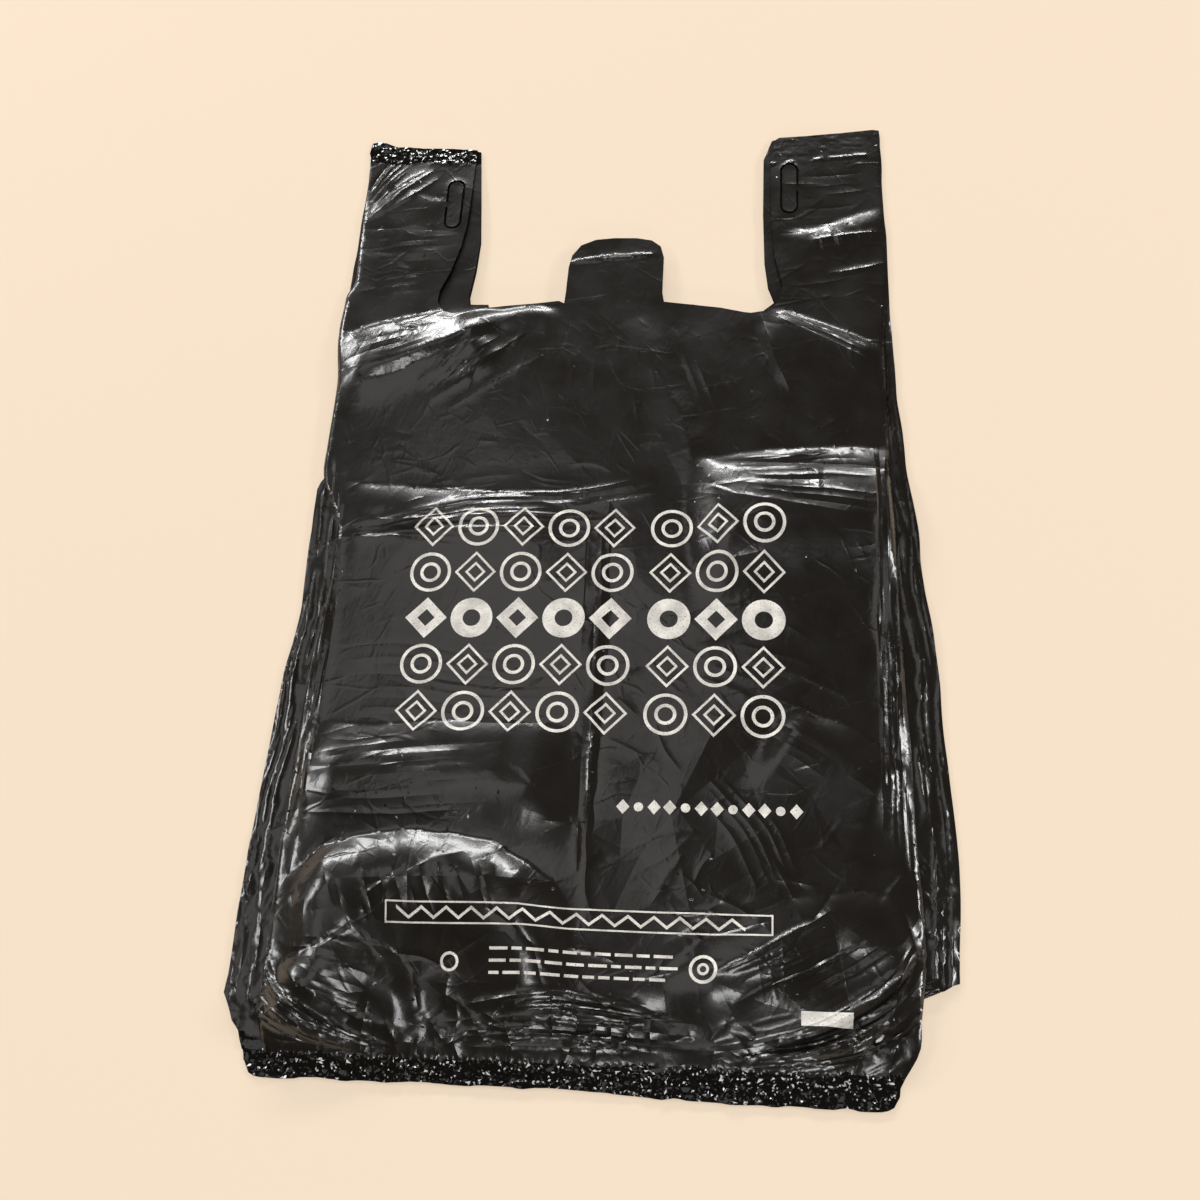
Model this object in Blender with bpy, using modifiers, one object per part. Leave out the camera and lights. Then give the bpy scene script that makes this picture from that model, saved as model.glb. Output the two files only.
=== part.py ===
"""A vest-shaped plastic carrier bag lying on its back, loosely flat, with a little air left in it.

One gusseted film tube: folded sides, a welded hem, welded handle tops and a die-cut mouth.
Metres, +X across the bag, +Y from the hem to the handles, +Z up. The back panel lies on Z = 0.
"""

import math

import bmesh
import bpy
from mathutils import Vector

# Driving sizes of the bag
bagWidth = 0.290
bagHeight = 0.511
gussetDepth = 0.082
film = 0.0003
layerGap = 0.0003
meltCover = 0.0008
hemHeight = 0.013
handleWidth = 0.0645
handleWeld = 0.016
mouthDepth = 0.112
mouthCornerRadius = 0.011
tabWidth = 0.050
tabHeight = 0.042
tabRadius = 0.014
slitLength = 0.033
slitWidth = 0.010
slitKerf = 0.0008
slitBridge = 0.005
slitFromTop = 0.020
slitFromInnerEdge = 0.009

# Print on the front panel, measured down from the mouth: rows of shapes, one row filled in
printDown = 0.1255
printRows = 5
filledRow = 2
printRowHeight = 0.0180
printRowPitch = 0.0240
printAcross = [(0.175, 0.565), (0.585, 0.820)]
smallLineDown = 0.2715
smallLineHeight = 0.0115
smallLineAcross = [(0.550, 0.830)]
longFrameDown = 0.3245
longFrameHeight = 0.0090
longFrameAcross = [(0.215, 0.790)]

# How high the air lifts the front panel, as (share of the bag's height, lift)
bodyLoft = [
    (0.000, 0.0000),
    (0.030, 0.0036),
    (0.085, 0.0086),
    (0.170, 0.0100),
    (0.300, 0.0092),
    (0.440, 0.0086),
    (0.530, 0.0080),
    (0.585, 0.0072),
    (0.690, 0.0066),
    (0.780, 0.0046),
    (0.860, 0.0034),
    (0.920, 0.0020),
    (0.960, 0.0000),
    (1.000, 0.0000),
]
sideLoft = [
    (0.000, 0.0000),
    (0.045, 0.0024),
    (0.300, 0.0036),
    (0.500, 0.0034),
    (0.700, 0.0028),
    (0.800, 0.0014),
    (0.960, 0.0000),
    (1.000, 0.0000),
]

# How far each side fold stands out past half the bag's width, as (share of the height, distance)
notchLow = 0.088
notchHigh = 0.092
frontLeftOut = [
    (0.00, -0.012),
    (0.05, -0.006),
    (0.20, -0.005),
    (0.36, -0.008),
    (0.47, -0.013),
    (0.505, -0.014),
    (0.585, -0.001),
    (0.68, -0.002),
    (0.74, 0.001),
    (0.79, 0.000),
    (0.81, -0.004),
    (0.90, -0.0035),
    (1.00, -0.002),
]
frontRightOut = [
    (0.00, -0.006),
    (0.05, 0.005),
    (0.12, 0.008),
    (0.25, 0.005),
    (0.40, 0.002),
    (0.50, 0.000),
    (0.60, -0.002),
    (0.72, -0.003),
    (0.81, 0.000),
    (1.00, -0.002),
]
backLeftOut = [
    (0.00, -0.008),
    (0.012, -0.001),
    (0.03, 0.002),
    (0.068, 0.012),
    (0.085, 0.011),
    (0.20, 0.010),
    (0.35, 0.006),
    (0.44, 0.001),
    (0.565, 0.002),
    (0.575, -0.002),
    (0.75, -0.001),
    (1.00, -0.003),
]
backRightOut = [
    (0.00, -0.007),
    (0.06, 0.004),
    (notchLow, 0.006),
    (notchHigh, 0.022),
    (0.19, 0.024),
    (0.35, 0.019),
    (0.50, 0.012),
    (0.60, 0.006),
    (0.70, 0.002),
    (0.80, 0.000),
    (1.00, -0.002),
]

# Bulges of the front panel, where trapped air lifts it below a line: points as shares of the half
# width and of the height, then the lift, the width of the slope up to it and the fall behind it
bulges = {
    "shoulderLeft": ([(-1.05, 0.737), (-0.83, 0.756), (-0.62, 0.770), (-0.41, 0.776)], 0.0056, 0.024, 0.014),
    "shoulderRight": ([(0.58, 0.772), (0.76, 0.752), (1.01, 0.719)], 0.0022, 0.010, 0.016),
    "chestRight": ([(0.26, 0.582), (0.40, 0.594), (0.69, 0.604), (1.06, 0.606)], 0.0074, 0.030, 0.030),
    "chestLeft": ([(-0.98, 0.570), (-0.69, 0.561), (-0.41, 0.555), (-0.07, 0.543)], 0.0030, 0.012, 0.030),
    "waistLeft": ([(-0.98, 0.320), (-0.69, 0.310), (-0.34, 0.320), (0.03, 0.308)], 0.0060, 0.036, 0.018),
    "belly": (
        [(-0.98, 0.116), (-0.92, 0.156), (-0.77, 0.187), (-0.50, 0.203), (-0.23, 0.187), (0.03, 0.140)],
        0.0085,
        0.024,
        0.034,
    ),
    "bellyRight": (
        [(0.25, 0.097), (0.43, 0.128), (0.66, 0.163), (0.90, 0.171), (1.09, 0.148)],
        0.0055,
        0.017,
        0.030,
    ),
    "hipRight": ([(0.62, 0.340), (0.83, 0.320), (1.05, 0.277)], 0.0042, 0.015, 0.024),
}
bulgeEnds = 0.2
bulgeRoundness = 0.4

# Creases of the front panel: points, then the crease's height and how far it falls away on each side
creases = {
    "tabFold": (
        [(0.10, 0.762), (0.17, 0.704), (0.28, 0.637), (0.32, 0.586), (0.43, 0.539)],
        0.0020,
        0.008,
        0.012,
    ),
    "shoulderLip": ([(-1.01, 0.680), (-0.77, 0.702), (-0.54, 0.733), (-0.36, 0.756)], 0.0013, 0.008, 0.008),
    "handleFold": ([(-0.72, 0.954), (-0.86, 0.915), (-0.97, 0.882)], 0.0013, 0.007, 0.010),
    "sweepLeft": ([(-0.98, 0.105), (-0.77, 0.062), (-0.44, 0.030)], 0.0024, 0.009, 0.010),
    "sweepRight": ([(1.03, 0.116), (0.88, 0.077), (0.58, 0.034)], 0.0022, 0.009, 0.009),
}

# How square the lift is across the bag, where along it the folds begin and end, and how far the
# gussets beside the front panel are carried up with it
crownFullness = 2.6
crownEdge = 0.8
foldsBegin = 0.06
foldsEnd = 0.96
foldsFade = 0.08
carryReach = 0.012

# Ends that are not quite square: the hem falls to the right, the handle tops towards the mouth
hemDrop = 0.004
hemDropReach = 0.15
handleTopDrop = 0.006
handleTopReach = 0.1

# Facets
frontColumns = 22
gussetColumns = 3
backColumns = 5
rowStep = 0.0135
hemWaves = 16
weldWaves = 6
waveHeight = 0.0004
meltStart = 1.6
arcCount = 5

# Colours of the film and of the two weights of print
filmColour = (0.012, 0.011, 0.010, 1.0)
solidInkColour = (0.74, 0.72, 0.69, 1.0)
outlineInkColour = (0.22, 0.21, 0.20, 1.0)
filmRoughness = 0.3
inkRoughness = 0.45

# Worked out from the sizes above
halfWidth = bagWidth / 2
layerPitch = film + layerGap
stackHeight = 3 * layerPitch + film
weldedThickness = stackHeight + meltCover
topY = bagHeight / 2
mouthY = topY - mouthDepth
innerEdge = halfWidth - handleWidth
weldLift = meltCover / 3
layerOf = {
    "front": 3,
    "rightGussetFront": 2,
    "leftGussetFront": 2,
    "rightGussetBack": 1,
    "leftGussetBack": 1,
    "back": 0,
}
filmSlot = 0
solidInkSlot = 1
outlineInkSlot = 2


def clearScene():
    for thing in list(bpy.data.objects):
        bpy.data.objects.remove(thing, do_unlink=True)


def ease(t):
    t = min(1.0, max(0.0, t))
    return t * t * (3 - 2 * t)


def along(stations, share):
    """Reads a smooth curve through (share, value) stations."""
    for (share0, value0), (share1, value1) in zip(stations, stations[1:]):
        if share <= share1:
            return value0 + (value1 - value0) * ease((share - share0) / (share1 - share0))
    return stations[-1][1]


def nearestOn(x, y, points):
    """The nearest place on a line: how far, on which side of its run, and at what share of it."""
    line = [(across * halfWidth, share * bagHeight - topY) for across, share in points]
    total = sum(math.dist(a, b) for a, b in zip(line, line[1:]))
    walked = 0.0
    nearest = None
    for (ax, ay), (bx, by) in zip(line, line[1:]):
        dx = bx - ax
        dy = by - ay
        long = math.hypot(dx, dy)
        t = ((x - ax) * dx + (y - ay) * dy) / (long * long)
        t = min(1.0, max(0.0, t))
        away = math.hypot(x - ax - t * dx, y - ay - t * dy)
        side = dx * (y - ay) - dy * (x - ax)
        if nearest is None or away < nearest[0]:
            nearest = (away, side, (walked + t * long) / total)
        walked += long
    return nearest


def bulgeHeight(x, y, points, height, width, fall):
    """Air under the film: it climbs from the line over the width, crests, and falls away behind."""
    away, side, share = nearestOn(x, y, points)
    if side > 0:
        return 0.0
    climb = min(1.0, away / width)
    rounded = climb * (1 + bulgeRoundness * (1 - climb))
    behind = math.exp(-((max(0.0, away - width) / fall) ** 2))
    return height * rounded * behind * ease(share / bulgeEnds) * ease((1 - share) / bulgeEnds)


def creaseHeight(x, y, points, height, fallLeft, fallRight):
    """A crease: sharp along its line, falling away on either side and dying out past its ends."""
    away, side, _ = nearestOn(x, y, points)
    return height * math.exp(-away / (fallLeft if side > 0 else fallRight))


def lift(x, y, share):
    """Height of the front panel over the flat stack of film, from the air and the folds."""
    side = along(sideLoft, share)
    crown = along(bodyLoft, share) - side
    across = min(1.0, abs(x) / halfWidth)
    height = side + crown * (1 - across**crownFullness) ** crownEdge
    folds = sum(bulgeHeight(x, y, *bulge) for bulge in bulges.values())
    folds += sum(creaseHeight(x, y, *crease) for crease in creases.values())
    flatEnds = ease(share / foldsBegin) * ease((foldsEnd - share) / foldsFade)
    return max(0.0, height + folds * flatEnds)


def panelEnds(panel, share):
    """Where a panel starts and ends across the bag, walking round the tube."""
    frontLeft = -halfWidth - along(frontLeftOut, share)
    frontRight = halfWidth + along(frontRightOut, share)
    backLeft = -halfWidth - along(backLeftOut, share)
    backRight = halfWidth + along(backRightOut, share)
    pleat = halfWidth - gussetDepth
    return {
        "front": (frontLeft, frontRight),
        "rightGussetFront": (frontRight, pleat),
        "rightGussetBack": (pleat, backRight),
        "back": (backRight, backLeft),
        "leftGussetBack": (backLeft, -pleat),
        "leftGussetFront": (-pleat, frontLeft),
    }[panel]


def runOff(x, share):
    """How far a point near the hem or a handle top moves because those ends are not square."""
    nearHem = ease(1 - share / hemDropReach)
    nearTop = ease(1 - (1 - share) / handleTopReach)
    hem = hemDrop * ease(x / halfWidth + hemDropReach) * nearHem
    handleTop = handleTopDrop * ease((halfWidth - abs(x)) / handleWidth) * nearTop
    return -hem - handleTop


def filmPoint(panel, across, y0):
    """Middle of the film at a place on the tube, with the tube lying flat and its top panel lifted."""
    share = (y0 + topY) / bagHeight
    start, end = panelEnds(panel, share)
    x = start + (end - start) * across
    y = y0 + runOff(x, share)
    frontLeft, frontRight = panelEnds("front", share)
    underFront = min(frontRight, max(frontLeft, x))
    overhang = abs(x - underFront)
    level = layerOf[panel]
    raised = lift(underFront, y, share) * level / 3 * math.exp(-overhang / carryReach)
    nearHem = ease(meltStart - share * bagHeight / hemHeight)
    nearTop = ease(meltStart - (1 - share) * bagHeight / handleWeld)
    z = film / 2 + level * layerPitch + raised + weldLift * max(nearHem, nearTop)
    return Vector((x, y, z))


def tubeStations():
    """Walks once round the tube: panel name, and how far across that panel each point is."""
    walk = [
        ("front", frontColumns),
        ("rightGussetFront", gussetColumns),
        ("rightGussetBack", gussetColumns),
        ("back", backColumns),
        ("leftGussetBack", gussetColumns),
        ("leftGussetFront", gussetColumns),
    ]
    return [(panel, i / count) for panel, count in walk for i in range(count + 1)]


def printBands():
    """Each band of print: its top, its height, where it lies across the panel, and its ink."""
    bands = []
    for row in range(printRows):
        ink = solidInkSlot if row == filledRow else outlineInkSlot
        top = mouthY - printDown - row * printRowPitch
        bands.append((top, printRowHeight, printAcross, ink))
    bands.append((mouthY - smallLineDown, smallLineHeight, smallLineAcross, outlineInkSlot))
    bands.append((mouthY - longFrameDown, longFrameHeight, longFrameAcross, outlineInkSlot))
    return bands


def rowHeights():
    """Rows of facets, even between marks, with a row edge at each edge of the print."""
    marks = [-topY, topY, notchLow * bagHeight - topY, notchHigh * bagHeight - topY]
    for top, height, _, _ in printBands():
        marks += [top, top - height]
    marks.sort()
    rows = []
    for low, high in zip(marks, marks[1:]):
        steps = max(1, math.ceil((high - low) / rowStep))
        rows += [low + (high - low) * i / steps for i in range(steps)]
    return rows + [topY]


def inkAt(panel, across, y):
    for top, height, groups, ink in printBands():
        inBand = top - height < y < top
        if panel == "front" and inBand and any(low < across < high for low, high in groups):
            return ink
    return filmSlot


def newObject(name, mesh, collection):
    thing = bpy.data.objects.new(name, mesh)
    collection.objects.link(thing)
    return thing


def newHelper(name, mesh, collection):
    """A solid that only joins or cuts the bag and is never part of it."""
    helper = newObject(name, mesh, collection)
    helper.hide_render = True
    helper.display_type = "WIRE"
    return helper


def finishMesh(bm, name):
    bmesh.ops.recalc_face_normals(bm, faces=bm.faces)
    mesh = bpy.data.meshes.new(name)
    bm.to_mesh(mesh)
    bm.free()
    return mesh


def makeMaterial(name, colour, roughness):
    material = bpy.data.materials.new(name)
    material.use_nodes = True
    shader = material.node_tree.nodes["Principled BSDF"]
    shader.inputs["Base Color"].default_value = colour
    shader.inputs["Roughness"].default_value = roughness
    shader.inputs["Metallic"].default_value = 0.0
    return material


def makeTube(name, collection):
    """The film tube: one flat grid wrapped round the folded section and closed on itself."""
    stations = tubeStations()
    columns = len(stations)
    heights = rowHeights()
    rows = len(heights) - 1
    bm = bmesh.new()
    bmesh.ops.create_grid(bm, x_segments=columns, y_segments=rows, size=1.0)
    place = {}
    for vert in bm.verts:
        column = round((vert.co.x + 1) / 2 * columns)
        row = round((vert.co.y + 1) / 2 * rows)
        place[vert] = (column, row)
    for face in bm.faces:
        column = min(place[vert][0] for vert in face.verts)
        row = min(place[vert][1] for vert in face.verts)
        panel, across = stations[column]
        middle = (heights[row] + heights[row + 1]) / 2
        face.material_index = inkAt(panel, across + 0.5 / frontColumns, middle)
    for vert, (column, row) in place.items():
        panel, across = stations[column % columns]
        vert.co = filmPoint(panel, across, heights[row])
    bmesh.ops.remove_doubles(bm, verts=bm.verts, dist=0.00001)
    tube = newObject(name, finishMesh(bm, name), collection)
    tube.data.materials.append(makeMaterial("black_film", filmColour, filmRoughness))
    tube.data.materials.append(makeMaterial("white_ink_solid", solidInkColour, inkRoughness))
    tube.data.materials.append(makeMaterial("white_ink_outline", outlineInkColour, inkRoughness))
    wall = tube.modifiers.new("film", "SOLIDIFY")
    wall.thickness = film
    wall.offset = 0
    wall.material_offset = filmSlot - outlineInkSlot
    return tube


def makeStrip(name, startX, endX, centreY, height, share, waves, collection):
    """A welded strip, where all the layers of film are melted into one rippled band."""
    bm = bmesh.new()
    bmesh.ops.create_grid(bm, x_segments=waves * 2, y_segments=2, size=0.5)
    for vert in bm.verts:
        x = startX + (vert.co.x + 0.5) * (endX - startX)
        y = centreY + vert.co.y * height + runOff(x, share)
        vert.co = Vector((x, y, 0.0))
    made = bmesh.ops.extrude_face_region(bm, geom=bm.faces[:])
    top = [item for item in made["geom"] if isinstance(item, bmesh.types.BMVert)]
    for vert in top:
        turn = (vert.co.x - startX) / (endX - startX) * waves * 2 * math.pi
        vert.co.z = weldedThickness + waveHeight * math.cos(turn)
    return newHelper(name, finishMesh(bm, name), collection)


def outlineCutter(name, points, collection):
    """An upright cutter from one closed 2D outline."""
    curve = bpy.data.curves.new(name, "CURVE")
    curve.dimensions = "2D"
    curve.fill_mode = "BOTH"
    curve.extrude = bagWidth / 4
    spline = curve.splines.new("POLY")
    spline.points.add(len(points) - 1)
    for point, (x, y) in zip(spline.points, points):
        point.co = (x, y, 0.0, 1.0)
    spline.use_cyclic_u = True
    drawn = newObject(name + "Outline", curve, collection)
    bpy.context.view_layer.update()
    evaluated = drawn.evaluated_get(bpy.context.evaluated_depsgraph_get())
    bm = bmesh.new()
    bm.from_mesh(bpy.data.meshes.new_from_object(evaluated))
    bmesh.ops.remove_doubles(bm, verts=bm.verts, dist=0.00001)
    bpy.data.objects.remove(drawn)
    return newHelper(name, finishMesh(bm, name), collection)


def arc(cx, cy, radius, startDeg, endDeg):
    turn = endDeg - startDeg
    angles = [math.radians(startDeg + turn * i / arcCount) for i in range(arcCount + 1)]
    return [(cx + radius * math.cos(a), cy + radius * math.sin(a)) for a in angles]


def mouthOutline():
    """The die's edge: down the left handle, along the mouth round the tab, up the right handle."""
    r = mouthCornerRadius
    tabHalf = tabWidth / 2
    above = topY + 2 * handleWeld
    tabTop = mouthY + tabHeight
    points = [(-innerEdge, above)]
    points += arc(-innerEdge + r, mouthY + r, r, 180, 270)
    points += [(-tabHalf, mouthY)]
    points += arc(-tabHalf + tabRadius, tabTop - tabRadius, tabRadius, 180, 90)
    points += arc(tabHalf - tabRadius, tabTop - tabRadius, tabRadius, 90, 0)
    points += [(tabHalf, mouthY)]
    points += arc(innerEdge - r, mouthY + r, r, 270, 360)
    points += [(innerEdge, above)]
    return points


def slitOutline(side):
    """The line cut round a hanging slit, open on one side where the flap hangs on."""
    outer = slitWidth / 2
    inner = outer - slitKerf
    straight = slitLength / 2 - outer
    gap = slitBridge / 2
    ring = [(outer, -gap)]
    ring += arc(0, -straight, outer, 0, -180)
    ring += arc(0, straight, outer, 180, 0)
    ring += [(outer, gap), (inner, gap)]
    ring += arc(0, straight, inner, 0, 180)
    ring += arc(0, -straight, inner, -180, 0)
    ring += [(inner, -gap)]
    cx = side * (innerEdge + slitFromInnerEdge + slitWidth / 2)
    cy = topY - slitFromTop - slitLength / 2
    return [(cx + side * x, cy + y) for x, y in ring]


def combine(target, other, operation):
    step = target.modifiers.new(other.name, "BOOLEAN")
    step.operation = operation
    step.object = other
    step.solver = "EXACT"


def bakeModifiers(thing):
    bpy.context.view_layer.update()
    evaluated = thing.evaluated_get(bpy.context.evaluated_depsgraph_get())
    mesh = bpy.data.meshes.new_from_object(evaluated)
    thing.modifiers.clear()
    thing.data = mesh


def weldEnds(bag, tools):
    """Melts the layers together along the hem and across the top of each handle."""
    left, right = panelEnds("front", 0)
    hem = makeStrip(
        "hemWeld", left - film, right + film, -topY + hemHeight / 2, hemHeight, 0.0, hemWaves, tools
    )
    combine(bag, hem, "UNION")
    weldY = topY - handleWeld / 2
    outside = halfWidth - 5 * film
    inside = innerEdge - mouthCornerRadius
    leftWeld = makeStrip("leftWeld", -outside, -inside, weldY, handleWeld, 1.0, weldWaves, tools)
    rightWeld = makeStrip("rightWeld", inside, outside, weldY, handleWeld, 1.0, weldWaves, tools)
    combine(bag, leftWeld, "UNION")
    combine(bag, rightWeld, "UNION")
    bakeModifiers(bag)


def dieCut(bag, tools):
    """Cuts the mouth, which frees the handles and the tab, and a hanging slit in each handle."""
    combine(bag, outlineCutter("mouthDie", mouthOutline(), tools), "DIFFERENCE")
    combine(bag, outlineCutter("leftSlit", slitOutline(-1), tools), "DIFFERENCE")
    combine(bag, outlineCutter("rightSlit", slitOutline(1), tools), "DIFFERENCE")
    bakeModifiers(bag)


def centreOnOrigin(bag):
    """Puts the origin under the middle of the bag's box."""
    xs = [vert.co.x for vert in bag.data.vertices]
    ys = [vert.co.y for vert in bag.data.vertices]
    middle = Vector(((min(xs) + max(xs)) / 2, (min(ys) + max(ys)) / 2, 0.0))
    for vert in bag.data.vertices:
        vert.co -= middle


def main():
    clearScene()
    parts = bpy.data.collections.new("carrier_bag_parts")
    tools = bpy.data.collections.new("cutters")
    bpy.context.scene.collection.children.link(parts)
    bpy.context.scene.collection.children.link(tools)
    bag = makeTube("carrier_bag", parts)
    weldEnds(bag, tools)
    dieCut(bag, tools)
    centreOnOrigin(bag)


main()
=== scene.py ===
import math

import bpy
import numpy as np
from mathutils import Matrix, Vector
from mathutils.bvhtree import BVHTree
from mathutils.geometry import delaunay_2d_cdt
from mathutils.kdtree import KDTree


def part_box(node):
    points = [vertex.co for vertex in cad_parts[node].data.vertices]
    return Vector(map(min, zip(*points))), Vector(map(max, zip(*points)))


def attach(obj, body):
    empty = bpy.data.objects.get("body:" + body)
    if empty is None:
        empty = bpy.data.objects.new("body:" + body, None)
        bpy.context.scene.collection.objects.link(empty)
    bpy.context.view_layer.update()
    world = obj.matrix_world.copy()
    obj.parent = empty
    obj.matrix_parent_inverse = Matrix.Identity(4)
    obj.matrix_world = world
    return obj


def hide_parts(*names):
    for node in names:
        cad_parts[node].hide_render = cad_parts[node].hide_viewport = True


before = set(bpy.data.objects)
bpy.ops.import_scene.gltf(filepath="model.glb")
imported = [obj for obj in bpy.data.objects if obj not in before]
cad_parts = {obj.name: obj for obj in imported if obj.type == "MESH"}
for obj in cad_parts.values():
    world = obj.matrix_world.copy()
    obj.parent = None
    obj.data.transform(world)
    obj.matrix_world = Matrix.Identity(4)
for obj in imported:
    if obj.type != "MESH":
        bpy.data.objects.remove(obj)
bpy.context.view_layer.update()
nodeLow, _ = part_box("carrier_bag")

mm = 0.001

# The bag, in millimetres from the middle of its front panel: x across, y towards the handles
bag = {"halfWidth": 145.0, "top": 255.5, "height": 511.0, "pleat": 63.0, "hemSeam": -246.5,
       "leftReach": -157.07, "bottomReach": -259.5, "seed": 7}
shift = Vector((nodeLow.x - bag["leftReach"] * mm, nodeLow.y - bag["bottomReach"] * mm, 0.0))

# Side folds, as (share of the height, distance past half the width in mm)
edges = {
    "frontLeft": [(0, -12), (0.05, -6), (0.2, -5), (0.36, -8), (0.47, -13), (0.505, -14), (0.585, -1),
        (0.68, -2), (0.74, 1), (0.79, 0), (0.81, -4), (0.9, -3.5), (1, -2)],
    "frontRight": [(0, -6), (0.05, 5), (0.12, 8), (0.25, 5), (0.4, 2), (0.5, 0), (0.6, -2), (0.72, -3),
        (0.81, 0), (1, -2)],
    "backLeft": [(0, -8), (0.012, -1), (0.03, 2), (0.05, 8), (0.068, 12), (0.085, 11), (0.2, 10),
        (0.35, 6), (0.44, 1), (0.565, 2), (0.575, -2), (0.75, -1), (1, -3)],
    "backRight": [(0, -7), (0.06, 4), (0.088, 6), (0.092, 22), (0.19, 24), (0.35, 19), (0.5, 12),
        (0.6, 6), (0.7, 2), (0.8, 0), (1, -2)],
}

# How high the air lifts the front panel, as (share of the height, lift in mm)
loft = {
    "body": [(0, 0), (0.03, 3.5), (0.085, 8.5), (0.17, 10), (0.3, 9.0), (0.44, 8.5), (0.53, 8.0),
             (0.585, 7), (0.69, 6.5), (0.78, 4.5), (0.86, 3.6), (0.92, 2.8), (0.97, 1.8), (1, 1.2)],
    "side": [(0, 0), (0.045, 2.4), (0.3, 3.6), (0.5, 3.4), (0.7, 2.8), (0.8, 1.4), (0.96, 0.4), (1, 0)],
    "stack": 1.2,
    "underside": 0.15,
}


# Smooth reading of a list of (share, value) stations
def along(stations, share):
    shares, values = np.array(stations, float).T
    share = np.clip(share, shares[0], shares[-1])
    i = np.clip(np.searchsorted(shares, share, side="right") - 1, 0, len(shares) - 2)
    t = (share - shares[i]) / (shares[i + 1] - shares[i])
    t = t * t * (3 - 2 * t)
    return values[i] + (values[i + 1] - values[i]) * t


def pairs(xs, ys):
    return list(zip(xs.tolist(), ys.tolist()))


def ease(t):
    t = np.clip(t, 0.0, 1.0)
    return t * t * (3 - 2 * t)


# Share of the bag's height at y mm, from the hem (0) to the handle tops (1)
def heightShare(y):
    return (y + bag["top"]) / bag["height"]


# Where the front panel's two side folds lie across the bag, in mm
def frontSides(share):
    left = -bag["halfWidth"] - along(edges["frontLeft"], share)
    right = bag["halfWidth"] + along(edges["frontRight"], share)
    return left, right


# Smooth seeded noise from -1 to 1 with the given grain in mm across and along the bag
def noise(x, y, grainX, grainY, seed):
    random = np.random.default_rng(bag["seed"] * 1000 + seed)
    size = 256
    lattice = random.uniform(-1, 1, (size, size))
    u = x / grainX + 97.3
    v = y / grainY + 61.7
    iu = np.floor(u).astype(int)
    iv = np.floor(v).astype(int)
    fu, fv = (f * f * f * (f * (f * 6 - 15) + 10) for f in (u - iu, v - iv))
    iu, iv, iu1, iv1 = (i % size for i in (iu, iv, iu + 1, iv + 1))
    low = lattice[iu, iv] * (1 - fu) + lattice[iu1, iv] * fu
    high = lattice[iu, iv1] * (1 - fu) + lattice[iu1, iv1] * fu
    return low * (1 - fv) + high * fv


# Sum of noises, each given as (grain across, grain along, height, seed)
def waves(layers, x, y, plus=0):
    return sum(high * noise(x, y, across, length, seed + plus) for across, length, high, seed in layers)


# Nearest place on a polyline: distance, which side (positive is left of its run) and share along it
def nearestOn(line, x, y):
    lengths = [math.dist(a, b) for a, b in zip(line, line[1:])]
    total = sum(lengths)
    best = np.full(x.shape, 1e9)
    side = np.zeros(x.shape)
    share = np.zeros(x.shape)
    walked = 0.0
    for (ax, ay), (bx, by), length in zip(line, line[1:], lengths):
        dx = bx - ax
        dy = by - ay
        t = np.clip(((x - ax) * dx + (y - ay) * dy) / (length * length), 0, 1)
        away = np.hypot(x - ax - t * dx, y - ay - t * dy)
        closer = away < best
        best = np.where(closer, away, best)
        side = np.where(closer, dx * (y - ay) - dy * (x - ax), side)
        share = np.where(closer, (walked + t * length) / total, share)
        walked += length
    return best, side, share


# A bulge with a slope of the given width below a line, and a longer fall behind its crest
def addStep(z, x, y, line, height, width, fade):
    early, runOut = 0.7, 0.2
    away, side, _ = nearestOn(line, x, y)
    (ax, ay), (bx, by) = line[0], line[-1]
    chord = ((x - ax) * (bx - ax) + (y - ay) * (by - ay)) / math.dist(line[0], line[-1]) ** 2
    ends = ease(chord / runOut) * ease((1 - chord) / runOut)
    below = np.where(side < 0, away, 0.0)
    climb = np.clip(below / width, 0, 1)
    climb = (1 + early) * climb - early * climb * climb
    fall = np.exp(-((np.maximum(below - width, 0) / fade) ** 2))
    z += height * climb * fall * ends * (side < 0)


# A crease: a sharp ridge (or groove, below zero) with its own fall on each side
def addCrease(z, x, y, line, height, fallLeft, fallRight):
    xs = [p[0] for p in line]
    ys = [p[1] for p in line]
    reach = 5 * max(fallLeft, fallRight)
    near = (x > min(xs) - reach) & (x < max(xs) + reach) & (y > min(ys) - reach) & (y < max(ys) + reach)
    if not near.any():
        return
    away, side, share = nearestOn(line, x[near], y[near])
    roundness = 0.6
    ends = np.sin(np.pi * np.clip(share, 0.02, 0.98)) ** roundness
    fall = np.where(side > 0, fallLeft, fallRight)
    z[near] += height * ends * np.exp(-away / fall)


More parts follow.
